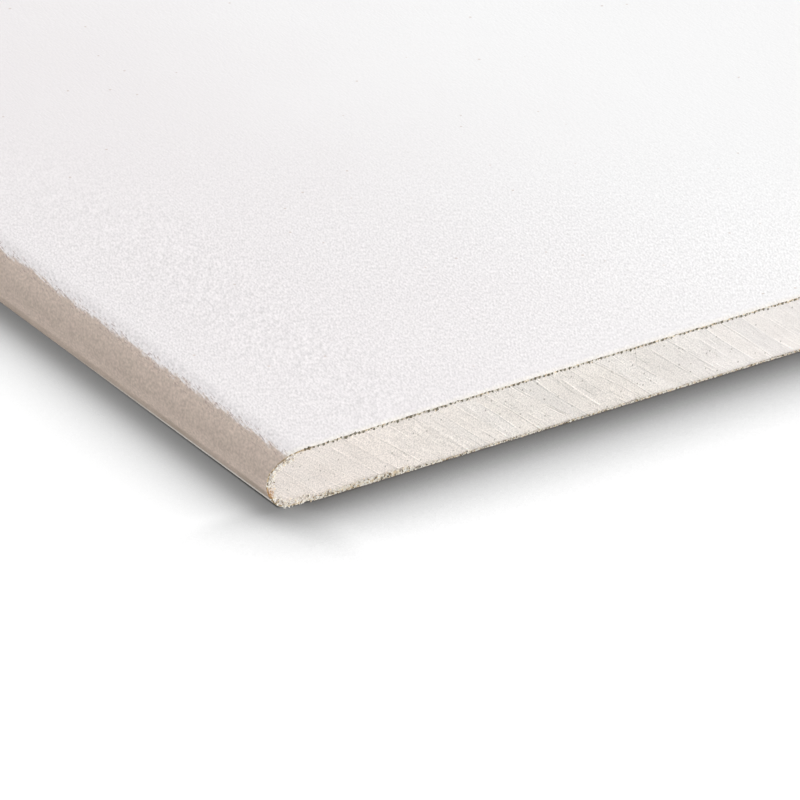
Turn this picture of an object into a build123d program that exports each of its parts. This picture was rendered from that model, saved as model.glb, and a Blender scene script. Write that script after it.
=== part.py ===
"""Gypsum board sheet with half-round, slightly tapered long edges, lying face up.

Three bonded pieces: a gypsum core, a face paper that covers the face, wraps round both long
edges and turns under the back as two margins, and a back paper that laps over those margins.
Both ends are cut square, so the core and the paper edges show there.

X is the width, Y the length and Z the thickness, in millimetres. The origin is on the floor
under the middle of the sheet.
"""

import os

from build123d import *

# The sheet as it is sold
board_width = 1250.0
board_length = 2500.0
board_thickness = 12.5

# The two papers
face_paper_thickness = 0.35
back_paper_thickness = 0.35
turned_margin_width = 34.0  # from the long edge to where the turned-under face paper ends
back_paper_setback = 11.0  # from the long edge to the edge of the back paper

# The long edge, seen from the end
taper_width = 38.0  # length over which the face falls towards the edge
taper_depth = 0.35  # how far it falls
nose_height = 6.6  # height of the outermost point above the floor
nose_face_reach = 9.0  # from the outermost point in to where the rounding meets the face
nose_back_reach = 5.6  # from the outermost point in to where the rounding meets the back

# Levels and places that follow from those sizes
edge_x = -board_width / 2
margin_underside = back_paper_thickness
margin_end_x = edge_x + turned_margin_width
back_tangent_x = edge_x + nose_back_reach
face_tangent_x = edge_x + nose_face_reach
taper_start_x = face_tangent_x + taper_width


def wrapped_outline(depth: float) -> None:
    """Draws one half of the section as the face paper runs, from mid-face to the turned margin's end.

    Args:
        depth: how far the line lies inside the outer surface. At 0 it is the outer surface,
            and at the paper's thickness it is the surface where the paper is bonded to the core.
    """
    face_z = board_thickness - depth
    back_z = margin_underside + depth
    Line((0, face_z), (taper_start_x, face_z))
    Line((taper_start_x, face_z), (face_tangent_x, face_z - taper_depth))
    EllipticalCenterArc(
        center=(face_tangent_x, nose_height),
        x_radius=nose_face_reach - depth,
        y_radius=face_z - taper_depth - nose_height,
        start_angle=90,
        arc_size=90,
    )
    EllipticalCenterArc(
        center=(back_tangent_x, nose_height),
        x_radius=nose_back_reach - depth,
        y_radius=nose_height - back_z,
        start_angle=180,
        arc_size=90,
    )
    Line((back_tangent_x, back_z), (margin_end_x, back_z))


# Gypsum core: filled up to the papers, with a step in its back for each turned margin
with BuildPart() as gypsum_core:
    with BuildSketch(Plane.XZ) as core_section:
        with BuildLine() as core_outline:
            wrapped_outline(face_paper_thickness)
            Polyline(
                (margin_end_x, margin_underside + face_paper_thickness),
                (margin_end_x, back_paper_thickness),
                (0, back_paper_thickness),
            )
            mirror(about=Plane.YZ)
        make_face()
    extrude(amount=board_length / 2, both=True)
gypsum_core.part.label = "gypsum_core"

# Face paper: one sheet folded round both long edges
with BuildPart() as face_paper:
    with BuildSketch(Plane.XZ) as face_paper_section:
        with BuildLine() as face_paper_outline:
            wrapped_outline(0)
            wrapped_outline(face_paper_thickness)
            Line(
                (margin_end_x, margin_underside),
                (margin_end_x, margin_underside + face_paper_thickness),
            )
            mirror(about=Plane.YZ)
        make_face()
    extrude(amount=board_length / 2, both=True)
face_paper.part.label = "face_paper"

# Back paper: a flat sheet over the core's back that laps over both turned margins
with BuildPart() as back_paper:
    Box(
        board_width - 2 * back_paper_setback,
        board_length,
        back_paper_thickness,
        align=(Align.CENTER, Align.CENTER, Align.MIN),
    )
back_paper.part.label = "back_paper"

os.makedirs("parts", exist_ok=True)
for piece in (gypsum_core.part, face_paper.part, back_paper.part):
    export_step(piece, f"parts/{piece.label}.step")
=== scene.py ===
"""Looks of a gypsum board sheet that lies face up: its wrapped papers, its sawn ends and its finishes.

Everything is in metres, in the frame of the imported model: X across the sheet, Y along it and Z up.
"""

import logging
import math
from collections.abc import Callable
from dataclasses import dataclass, field
from enum import Enum

import bmesh
import bpy
import numpy as np
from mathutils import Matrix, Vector

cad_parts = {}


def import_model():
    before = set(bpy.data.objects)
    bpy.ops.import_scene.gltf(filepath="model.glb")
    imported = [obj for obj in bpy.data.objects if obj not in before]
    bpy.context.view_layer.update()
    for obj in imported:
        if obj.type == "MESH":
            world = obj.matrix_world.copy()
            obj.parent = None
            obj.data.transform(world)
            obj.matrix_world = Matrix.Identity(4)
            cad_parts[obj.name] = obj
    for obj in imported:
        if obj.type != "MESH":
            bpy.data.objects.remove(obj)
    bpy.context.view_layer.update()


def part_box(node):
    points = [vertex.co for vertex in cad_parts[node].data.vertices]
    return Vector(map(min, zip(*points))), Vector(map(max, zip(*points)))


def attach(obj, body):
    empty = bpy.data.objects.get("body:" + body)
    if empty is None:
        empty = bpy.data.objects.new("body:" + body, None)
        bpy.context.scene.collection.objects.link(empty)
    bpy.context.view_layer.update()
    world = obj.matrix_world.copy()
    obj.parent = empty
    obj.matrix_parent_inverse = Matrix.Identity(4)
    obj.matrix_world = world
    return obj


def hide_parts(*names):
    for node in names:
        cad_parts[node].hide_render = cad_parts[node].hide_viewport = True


log = logging.getLogger("gypsum_board")

MM = 0.001
TOUCH = 1e-6  # two places closer than this are the same place

Colour = tuple[float, float, float]
Place = tuple[float, float, float]


class Side(Enum):
    """The two long edges, by the sign of X."""

    LEFT = -1
    RIGHT = 1


class End(Enum):
    """The two sawn ends, by the sign of Y."""

    NEAR = -1
    FAR = 1


class Slot(Enum):
    """The liner that torn shreds come from."""

    FACE = "face_liner"
    BACK = "back_liner"


@dataclass(frozen=True)
class SheetSizes:
    """Sizes of the sheet, read from the frame where a node's box holds them."""

    half_width: float
    half_length: float
    thickness: float
    liner: float
    back_half_width: float
    turned_margin_width: float = 34.0 * MM
    taper_width: float = 38.0 * MM
    taper_depth: float = 0.35 * MM
    nose_height: float = 6.6 * MM
    nose_face_reach: float = 9.0 * MM
    nose_back_reach: float = 5.6 * MM

    @classmethod
    def from_frame(cls) -> "SheetSizes":
        """Reads the boxes of the nodes.

        Returns:
            The sheet's sizes.
        """
        paper_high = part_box("face_paper")[1]
        back_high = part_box("back_paper")[1]
        return cls(
            half_width=paper_high.x,
            half_length=paper_high.y,
            thickness=paper_high.z,
            liner=back_high.z,
            back_half_width=back_high.x,
        )

    @property
    def face_tangent_x(self) -> float:
        """Where the rounding meets the tapered face."""
        return self.half_width - self.nose_face_reach

    @property
    def back_tangent_x(self) -> float:
        """Where the rounding meets the back."""
        return self.half_width - self.nose_back_reach

    @property
    def taper_start_x(self) -> float:
        """Where the face begins to fall towards the edge."""
        return self.face_tangent_x - self.taper_width

    @property
    def margin_end_x(self) -> float:
        """Where the turned-under margin of the face paper ends."""
        return self.half_width - self.turned_margin_width


def deselect_all() -> None:
    """Goes to object mode and leaves nothing selected."""
    if bpy.context.mode != "OBJECT":
        bpy.ops.object.mode_set(mode="OBJECT")
    bpy.ops.object.select_all(action="DESELECT")


def make_active(piece: bpy.types.Object) -> None:
    """Makes one object the only selected and the active one.

    Args:
        piece: the object.
    """
    deselect_all()
    piece.select_set(True)
    bpy.context.view_layer.objects.active = piece


def apply_place(piece: bpy.types.Object) -> None:
    """Moves a piece's place, turn and scale into its mesh."""
    make_active(piece)
    bpy.ops.object.transform_apply(location=True, rotation=True, scale=True)


@dataclass
class Bench:
    """Edit mode on one mesh, where geometry is selected by its place."""

    piece: bpy.types.Object

    def __enter__(self) -> "Bench":
        """Enters edit mode with nothing selected.

        Returns:
            The bench.
        """
        make_active(self.piece)
        bpy.ops.object.mode_set(mode="EDIT")
        bpy.ops.mesh.select_all(action="DESELECT")
        return self

    def __exit__(self, *_: object) -> None:
        """Goes back to object mode."""
        bpy.ops.object.mode_set(mode="OBJECT")

    def pick_vertices(self, wanted: Callable[[Vector], bool]) -> None:
        """Selects only the vertices at wanted places.

        Args:
            wanted: says whether a place is wanted.
        """
        bpy.ops.mesh.select_mode(type="VERT")
        bpy.ops.mesh.select_all(action="DESELECT")
        mesh = bmesh.from_edit_mesh(self.piece.data)
        for vertex in mesh.verts:
            vertex.select_set(wanted(vertex.co))
        mesh.select_flush_mode()
        bmesh.update_edit_mesh(self.piece.data)

    def pick_edges(self, wanted: Callable[[Vector, Vector], bool]) -> None:
        """Selects only the wanted edges.

        Args:
            wanted: says whether an edge is wanted, from its two ends.
        """
        bpy.ops.mesh.select_mode(type="EDGE")
        bpy.ops.mesh.select_all(action="DESELECT")
        mesh = bmesh.from_edit_mesh(self.piece.data)
        for edge in mesh.edges:
            edge.select_set(wanted(edge.verts[0].co, edge.verts[1].co))
        mesh.select_flush_mode()
        bmesh.update_edit_mesh(self.piece.data)

    def pick_edges_at(self, x: float, z: float) -> None:
        """Selects the long edges that run along the sheet.

        Args:
            x: their X.
            z: their Z.
        """
        self.pick_edges(
            lambda a, b: all(abs(end.x - x) < TOUCH and abs(end.z - z) < TOUCH for end in (a, b))
        )

    def pick_rims(self) -> None:
        """Selects the edges that only one face uses."""
        bpy.ops.mesh.select_mode(type="EDGE")
        bpy.ops.mesh.select_all(action="DESELECT")
        bpy.ops.mesh.select_non_manifold(
            use_wire=False, use_boundary=True, use_multi_face=False, use_non_contiguous=False
        )

    @staticmethod
    def pick_all() -> None:
        """Selects everything."""
        bpy.ops.mesh.select_all(action="SELECT")

    def push_out(self, x: float = 0.0, y: float = 0.0, z: float = 0.0) -> None:
        """Extrudes the selection by a distance along each axis."""
        bpy.ops.mesh.extrude_region_move(TRANSFORM_OT_translate={"value": (x, y, z)})

    def stretch(self, about: Place, x: float = 1.0, y: float = 1.0, z: float = 1.0) -> None:
        """Scales the selection about a point."""
        bpy.ops.transform.resize(value=(x, y, z), center_override=about)

    def face_outwards(self) -> None:
        """Turns every face of a closed mesh outwards."""
        self.pick_all()
        bpy.ops.mesh.normals_make_consistent(inside=False)


def direction(azimuth: float, elevation: float) -> Vector:
    """Returns the unit vector at an azimuth from +Y towards +X and at an elevation, in degrees."""
    turn, rise = math.radians(azimuth), math.radians(elevation)
    return Vector((math.sin(turn) * math.cos(rise), math.cos(turn) * math.cos(rise), math.sin(rise)))


def add_plane(name: str, size_x: float, size_y: float, z: float) -> bpy.types.Object:
    """Adds a level rectangle centred on the Z axis.

    Args:
        name: the object's name.
        size_x: its size across.
        size_y: its size along.
        z: its height.

    Returns:
        The new object, with its size and place in its mesh.
    """
    deselect_all()
    bpy.ops.mesh.primitive_plane_add(size=1.0, location=(0.0, 0.0, z))
    plane = bpy.context.object
    plane.name = plane.data.name = name
    plane.scale = (size_x, size_y, 1.0)
    apply_place(plane)
    return plane


@dataclass
class WrappedSurface:
    """The surface that the face paper follows, at one depth under the sheet's outside.

    It runs from the end of one turned margin, round the nose, over the face and round the other
    nose to the end of the other margin.
    """

    sizes: SheetSizes
    depth: float
    name: str
    steps_above_nose: int = 24
    steps_below_nose: int = 16

    def build(self) -> bpy.types.Object:
        """Extrudes and spins the surface from the flat of the face.

        Returns:
            The open surface.
        """
        sizes = self.sizes
        surface = add_plane(
            self.name, 2 * sizes.taper_start_x, 2 * sizes.half_length, sizes.thickness - self.depth
        )
        with Bench(surface) as bench:
            for side in Side:
                self._wrap_edge(bench, side.value)
        return surface

    def _wrap_edge(self, bench: Bench, sign: int) -> None:
        """Adds the taper, the half-round nose and the turned margin along one long edge.

        Args:
            bench: edit mode on the surface.
            sign: the sign of X on that side.
        """
        sizes = self.sizes
        face_z = sizes.thickness - self.depth
        crown_z = face_z - sizes.taper_depth
        back_z = sizes.liner + self.depth
        quarter = -sign * math.pi / 2  # the spin operator turns the other way round than its axis says

        bench.pick_edges_at(sign * sizes.taper_start_x, face_z)
        bench.push_out(x=sign * sizes.taper_width, z=-sizes.taper_depth)
        face_centre = (sign * sizes.face_tangent_x, 0.0, sizes.nose_height)
        self._spin(self.steps_above_nose, quarter, face_centre)
        bench.pick_vertices(lambda place: sign * place.x > sizes.face_tangent_x + TOUCH)
        crown_rise = crown_z - sizes.nose_height
        bench.stretch(face_centre, x=(sizes.nose_face_reach - self.depth) / crown_rise)

        bench.pick_edges_at(sign * (sizes.half_width - self.depth), sizes.nose_height)
        back_centre = (sign * sizes.back_tangent_x, 0.0, sizes.nose_height)
        self._spin(self.steps_below_nose, quarter, back_centre)
        bench.pick_vertices(lambda place: sign * place.x > 0 and place.z < sizes.nose_height - TOUCH)
        back_reach = sizes.nose_back_reach - self.depth
        bench.stretch(back_centre, z=(sizes.nose_height - back_z) / back_reach)

        bench.pick_edges_at(sign * sizes.back_tangent_x, back_z)
        bench.push_out(x=-sign * (sizes.back_tangent_x - sizes.margin_end_x))

    @staticmethod
    def _spin(steps: int, angle: float, centre: Place) -> None:
        """Turns the selected edges about an axis along the sheet."""
        bpy.ops.mesh.spin(steps=steps, angle=angle, center=centre, axis=(0.0, 1.0, 0.0))


@dataclass(frozen=True)
class Relief:
    """One layer of roughness in a cut: a noise stretched along the saw's strokes."""

    name: str
    basis: str
    across: float
    along: float
    height: float

    def press_into(self, strip: bpy.types.Object, guide: bpy.types.Object) -> None:
        """Moves a cutter's face in and out by the noise.

        Args:
            strip: the cutter's face.
            guide: an empty turned to the stroke's direction, which this scales.
        """
        texture = bpy.data.textures.new(self.name, "CLOUDS")
        texture.noise_basis = self.basis
        texture.noise_scale = 1.0
        texture.noise_depth = 0
        guide.scale = (self.across, self.across, self.along)
        bpy.context.view_layer.update()
        modifier = strip.modifiers.new(self.name, "DISPLACE")
        modifier.texture = texture
        modifier.texture_coords = "OBJECT"
        modifier.texture_coords_object = guide
        modifier.direction = "Y"
        modifier.mid_level = 0.5
        modifier.strength = self.height
        make_active(strip)
        bpy.ops.object.modifier_apply(modifier=modifier.name)
        bpy.data.textures.remove(texture)


@dataclass(frozen=True)
class SawCut:
    """A cutter whose face has the relief that a saw leaves."""

    name: str
    column: float
    rows: int
    depth: float
    layers: tuple[Relief, ...]
    stroke_angle: float = math.radians(40.0)
    clearance: float = 1.5 * MM
    slab: float = 20.0 * MM

    def trim(self, piece: bpy.types.Object, sizes: SheetSizes) -> None:
        """Cuts both ends of a piece.

        Args:
            piece: a closed mesh that runs from end to end.
            sizes: the sheet's sizes.
        """
        for end in End:
            cutter = self._build(sizes, end)
            make_active(piece)
            modifier = piece.modifiers.new(self.name, "BOOLEAN")
            modifier.operation = "DIFFERENCE"
            modifier.solver = "MANIFOLD"
            modifier.object = cutter
            bpy.ops.object.modifier_apply(modifier=modifier.name)
            bpy.data.meshes.remove(cutter.data)

    def _build(self, sizes: SheetSizes, end: End) -> bpy.types.Object:
        """Makes the cutter for one end.

        Args:
            sizes: the sheet's sizes.
            end: the end to cut.

        Returns:
            A closed slab over that end, with its rough face inwards.
        """
        height = sizes.thickness + 2 * self.clearance
        lean = height / math.tan(self.stroke_angle)
        length = 2 * (sizes.half_width + self.clearance) + lean
        deselect_all()
        bpy.ops.mesh.primitive_grid_add(
            x_subdivisions=math.ceil(length / self.column), y_subdivisions=1, size=1.0
        )
        strip = bpy.context.object
        strip.name = self.name
        strip.scale = (length, height, 1.0)
        strip.rotation_euler = (math.pi / 2, 0.0, 0.0)
        strip.location = (-lean / 2, -sizes.half_length + self.depth, sizes.thickness / 2)
        apply_place(strip)
        with Bench(strip) as bench:
            bench.pick_vertices(lambda place: place.z < sizes.thickness / 2)
            bpy.ops.transform.translate(value=(lean, 0.0, 0.0))
            bench.pick_edges(lambda a, b: abs(a.z - b.z) > height / 2)
            bpy.ops.mesh.subdivide(number_cuts=self.rows - 1)
        self._roughen(strip, end)
        with Bench(strip) as bench:
            bench.pick_all()
            bench.push_out(y=-self.slab)
            bench.stretch((0.0, -sizes.half_length - self.slab, 0.0), y=0.0)
            bench.face_outwards()
        if end is End.FAR:
            strip.rotation_euler = (0.0, 0.0, math.pi)
            apply_place(strip)
        return strip

    def _roughen(self, strip: bpy.types.Object, end: End) -> None:
        """Presses every layer of relief into the cutter's face.

        Args:
            strip: the cutter's face.
            end: the end that it is for. The noise is read at another place for each end.
        """
        guide = bpy.data.objects.new("stroke_guide", None)
        bpy.context.scene.collection.objects.link(guide)
        guide.rotation_euler = (0.0, self.stroke_angle - math.pi / 2, 0.0)
        guide.location = (0.0, 0.1 * end.value, 0.0)
        for layer in self.layers:
            layer.press_into(strip, guide)
        bpy.data.objects.remove(guide)


@dataclass(frozen=True)
class Signal:
    """A value that runs through a node tree. A formula on it adds Math nodes."""

    nodes: "Nodes"
    socket: bpy.types.NodeSocket

    def __add__(self, other: "Value") -> "Signal":
        """Returns the sum."""
        return self.nodes.maths("ADD", self, other)

    def __sub__(self, other: "Value") -> "Signal":
        """Returns the difference."""
        return self.nodes.maths("SUBTRACT", self, other)

    def __rsub__(self, other: float) -> "Signal":
        """Returns the difference from a number."""
        return self.nodes.maths("SUBTRACT", other, self)

    def __mul__(self, other: "Value") -> "Signal":
        """Returns the product."""
        return self.nodes.maths("MULTIPLY", self, other)

    def __pow__(self, exponent: float) -> "Signal":
        """Returns the power."""
        return self.nodes.maths("POWER", self, exponent)

    def __abs__(self) -> "Signal":
        """Returns the size without the sign."""
        return self.nodes.maths("ABSOLUTE", self)

    def above(self, limit: float) -> "Signal":
        """Returns 1 above a limit and 0 elsewhere."""
        return self.nodes.maths("GREATER_THAN", self, limit)

    def below(self, limit: float) -> "Signal":
        """Returns 1 below a limit and 0 elsewhere."""
        return self.nodes.maths("LESS_THAN", self, limit)

    def at_least(self, other: "Value") -> "Signal":
        """Returns the higher of two values."""
        return self.nodes.maths("MAXIMUM", self, other)


Value = Signal | float | Place | tuple[float, float, float, float]


@dataclass(frozen=True)
class Ramp:
    """A smooth change from a first to a last value, between a start and a stop."""

    start: float
    stop: float
    first: float = 0.0
    last: float = 1.0


@dataclass(frozen=True)
class Grain:
    """A noise whose grains are longer one way: their size over X and Z, and along Y."""

    across: float
    along: float
    detail: float = 2.0
    turn: float = 0.0


@dataclass(frozen=True)
class Nodes:
    """Adds nodes to one node tree and links them."""

    tree: bpy.types.NodeTree

    def add(
        self, kind: str, inputs: dict[int | str, Value] | None = None, **settings: object
    ) -> bpy.types.Node:
        """Adds a node.

        Args:
            kind: the node's type.
            inputs: what each input gets, a signal or a constant, by its name or number.
            settings: the node's own settings.

        Returns:
            The new node.
        """
        node = self.tree.nodes.new(kind)
        for name, setting in settings.items():
            setattr(node, name, setting)
        for key, value in (inputs or {}).items():
            if isinstance(value, Signal):
                self.tree.links.new(value.socket, node.inputs[key])
            else:
                node.inputs[key].default_value = value
        return node

    def get(
        self,
        kind: str,
        inputs: dict[int | str, Value] | None = None,
        output: int | str = 0,
        **settings: object,
    ) -> Signal:
        """Adds a node and returns one of its outputs.

        Args:
            kind: the node's type.
            inputs: what each input gets.
            output: the output's name or number.
            settings: the node's own settings.

        Returns:
            The output.
        """
        return Signal(self, self.add(kind, inputs, **settings).outputs[output])

    def maths(self, operation: str, *values: Value) -> Signal:
        """Adds a Math node and returns its result."""
        return self.get("ShaderNodeMath", dict(enumerate(values)), operation=operation)

    def vector(self, operation: str, *values: Value) -> Signal:
        """Adds a Vector Math node and returns its result."""
        return self.get("ShaderNodeVectorMath", dict(enumerate(values)), operation=operation)

    def scaled(self, vector: Value, factor: Value) -> Signal:
        """Returns a vector times a number."""
        return self.get("ShaderNodeVectorMath", {0: vector, "Scale": factor}, operation="SCALE")

    def joined(self, x: Value = 0.0, y: Value = 0.0, z: Value = 0.0) -> Signal:
        """Returns the vector with these three parts."""
        return self.get("ShaderNodeCombineXYZ", {0: x, 1: y, 2: z})

    def parts(self, vector: Signal) -> tuple[Signal, Signal, Signal]:
        """Returns a vector's X, Y and Z."""
        node = self.add("ShaderNodeSeparateXYZ", {0: vector})
        return tuple(Signal(self, output) for output in node.outputs)

    def channels(self, colour: Signal) -> tuple[Signal, Signal, Signal]:
        """Returns a colour's red, green and blue."""
        node = self.add("ShaderNodeSeparateColor", {0: colour})
        return tuple(Signal(self, output) for output in node.outputs)

    def group(self, tree: bpy.types.NodeTree, inputs: dict[str, Value]) -> dict[str, Signal]:
        """Adds a node group and returns its outputs by their names."""
        node = self.add("ShaderNodeGroup", inputs, node_tree=tree)
        return {output.name: Signal(self, output) for output in node.outputs}

    def ramp(self, value: Value, ramp: Ramp) -> Signal:
        """Returns a ramp's value where another value puts it."""
        inputs = {0: value, 1: ramp.start, 2: ramp.stop, 3: ramp.first, 4: ramp.last}
        return self.get("ShaderNodeMapRange", inputs, interpolation_type="SMOOTHSTEP")

    def mix(self, share: Value, first: Value, second: Value) -> Signal:
        """Mixes two numbers and returns the result."""
        return self.get("ShaderNodeMix", {0: share, 2: first, 3: second})

    def blend(self, share: Value, first: Value, second: Value, mode: str = "MIX") -> Signal:
        """Blends two colours.

        Args:
            share: how much of the second colour shows.
            first: a colour, as a signal or as red, green and blue.
            second: the other colour, which may also be a number.
            mode: how the second colour lies over the first.

        Returns:
            The blended colour.
        """
        inputs = {0: share}
        for socket, colour in ((6, first), (7, second)):
            inputs[socket] = solid(colour) if isinstance(colour, tuple) else colour
        return self.get("ShaderNodeMix", inputs, output=2, data_type="RGBA", blend_type=mode)

    def toned(self, colour: Value, tone: Value) -> Signal:
        """Returns a colour multiplied by a tone."""
        return self.blend(1.0, colour, tone, mode="MULTIPLY")

    def noise(self, place: Value, grain: Grain) -> Signal:
        """Adds a noise whose grains are longer one way.

        Args:
            place: where it is read, in metres.
            grain: the noise's grains.

        Returns:
            The noise, from 0 to 1.
        """
        size, turn = (grain.across, grain.along, grain.across), (0.0, 0.0, grain.turn)
        inputs = {"Vector": place, "Rotation": turn, "Scale": size}
        scaled = self.get("ShaderNodeMapping", inputs, vector_type="TEXTURE")
        return self.get("ShaderNodeTexNoise", {"Vector": scaled, "Scale": 1.0, "Detail": grain.detail})

    def cells(self, place: Value, apart: float, output: str = "Distance") -> Signal:
        """Returns an output of a pattern of cells about this far apart."""
        return self.get("ShaderNodeTexVoronoi", {"Vector": place, "Scale": 1 / apart}, output)


def solid(colour: Colour) -> tuple[float, float, float, float]:
    """Adds full alpha to a colour."""
    return (*colour, 1.0)


FLOAT, VECTOR, COLOUR = "NodeSocketFloat", "NodeSocketVector", "NodeSocketColor"


def new_group(
    name: str, inputs: dict[str, str], outputs: dict[str, str]
) -> tuple[Nodes, dict[str, Signal]]:
    """Starts a shader node group.

    Args:
        name: the group's name.
        inputs: the type of each input by its name.
        outputs: the type of each output by its name.

    Returns:
        The group's nodes, and its inputs by their names.
    """
    tree = bpy.data.node_groups.new(name, "ShaderNodeTree")
    for in_out, sockets in (("INPUT", inputs), ("OUTPUT", outputs)):
        for label, kind in sockets.items():
            tree.interface.new_socket(name=label, in_out=in_out, socket_type=kind)
    nodes = Nodes(tree)
    given = nodes.add("NodeGroupInput")
    return nodes, {label: Signal(nodes, given.outputs[label]) for label in inputs}


@dataclass(frozen=True)
class PaperFibres:
    """The felted grain that both liner papers share."""

    lengthwise: Grain = Grain(0.31 * MM, 1.4 * MM, detail=0.0)
    crossed_one: Grain = Grain(0.31 * MM, 1.1 * MM, detail=0.0, turn=math.radians(50.0))
    crossed_other: Grain = Grain(0.31 * MM, 1.1 * MM, detail=0.0, turn=math.radians(-50.0))
    flocks: Grain = Grain(0.38 * MM, 0.98 * MM, detail=0.0, turn=math.radians(-30.0))
    flock_share: float = 0.75
    contrast: float = 3.0

    def group(self) -> bpy.types.NodeTree:
        """Makes the node group.

        Returns:
            A group from Place to Tone, 0 to 1 about a middle of 0.5, and Height, 0 to 1.
        """
        nodes, given = new_group("paper_fibres", {"Place": VECTOR}, {"Tone": FLOAT, "Height": FLOAT})
        lengthwise, crossed_one, crossed_other, flocks = (
            nodes.noise(given["Place"], grain)
            for grain in (self.lengthwise, self.crossed_one, self.crossed_other, self.flocks)
        )
        fibres = (lengthwise + (crossed_one + crossed_other) * 0.5) * 0.5
        tone = flocks * self.flock_share + fibres * (1.0 - self.flock_share)
        tone = tone * self.contrast + (1.0 - self.contrast) / 2
        nodes.add("NodeGroupOutput", {"Tone": tone, "Height": fibres})
        return nodes.tree


@dataclass(frozen=True)
class Facets:
    """A row of facets side by side, each about one pitch wide."""

    pitch: float
    start: float


@dataclass(frozen=True)
class Patches:
    """Long patches along the strokes, and the ramp of noise on which they come up."""

    across: float
    along: float
    shown: Ramp


@dataclass(frozen=True)
class BrokenLine:
    """A line on the borders of facets, or a little aside of them, that shows in patches."""

    facets: Facets
    width: float
    patches: Patches
    aside: float = 0.0


@dataclass
class StrokeNodes:
    """Adds nodes that follow the saw's strokes."""

    nodes: Nodes
    across: Signal
    flat: Signal
    wander_across: float = 7.0 * MM
    wander_along: float = 45.0 * MM
    wander_reach: float = 3.5 * MM
    wander: Signal = field(init=False)

    def __post_init__(self) -> None:
        """Makes the strokes wander from their straight lines."""
        self.wander = self.noise(self.wander_across, self.wander_along, detail=1.0)

    def noise(self, across: float, along: float, detail: float = 2.0) -> Signal:
        """Adds a noise in long strokes.

        Args:
            across: the size of a grain across the strokes.
            along: its size along them.
            detail: how much finer noise is on it.

        Returns:
            The noise, from 0 to 1.
        """
        scaled = self.nodes.get(
            "ShaderNodeMapping", {"Vector": self.flat, "Scale": (1 / across, 1 / along, 1.0)}
        )
        inputs = {"Vector": scaled, "Scale": 1.0, "Detail": detail}
        return self.nodes.get("ShaderNodeTexNoise", inputs, noise_dimensions="2D")

    def row(self, facets: Facets, aside: float = 0.0) -> Signal:
        """Returns the place across the strokes, counted in facets."""
        place = self.across * (1 / facets.pitch) + (facets.start + aside / facets.pitch)
        return self.wander * (self.wander_reach / facets.pitch) + place

    def patchy(self, mask: Signal, patches: Patches) -> Signal:
        """Lets a mask show only in patches."""
        return mask * self.nodes.ramp(self.noise(patches.across, patches.along), patches.shown)

    def line(self, line: BrokenLine) -> Signal:
        """Draws a broken line.

        Args:
            line: the line.

        Returns:
            Its mask.
        """
        border = self.nodes.get(
            "ShaderNodeTexVoronoi",
            {"W": self.row(line.facets, line.aside), "Scale": 1.0},
            output="Distance",
            feature="DISTANCE_TO_EDGE",
            voronoi_dimensions="1D",
        )
        reach = line.width / line.facets.pitch
        return self.patchy(self.nodes.ramp(border, Ramp(reach, 0.3 * reach)), line.patches)

    def terrace(self, facets: Facets, least: float) -> tuple[Signal, Signal]:
        """Makes facets that rise like the steps of a terrace.

        Args:
            facets: the facets.
            least: the share of them that stay nearly level.

        Returns:
            A random colour for each facet, and a height that rises over a facet and drops at its end.
        """
        place = self.row(facets)
        cell = self.nodes.add("ShaderNodeTexVoronoi", {"W": place, "Scale": 1.0}, voronoi_dimensions="1D")
        colour = Signal(self.nodes, cell.outputs["Color"])
        chance, _, _ = self.nodes.channels(colour)
        tall = self.nodes.ramp(chance, Ramp(least, least + 0.25, first=0.1))
        return colour, (place - Signal(self.nodes, cell.outputs["W"])) * tall


WIDE_FACETS = Facets(3.3 * MM, 0.0)
FINE_FACETS = Facets(1.25 * MM, 17.3)
FINE_PATCHES = Patches(1.4 * MM, 5.0 * MM, Ramp(0.52, 0.64))
ODD_FACETS = Facets(2.1 * MM, 41.7)


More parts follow.
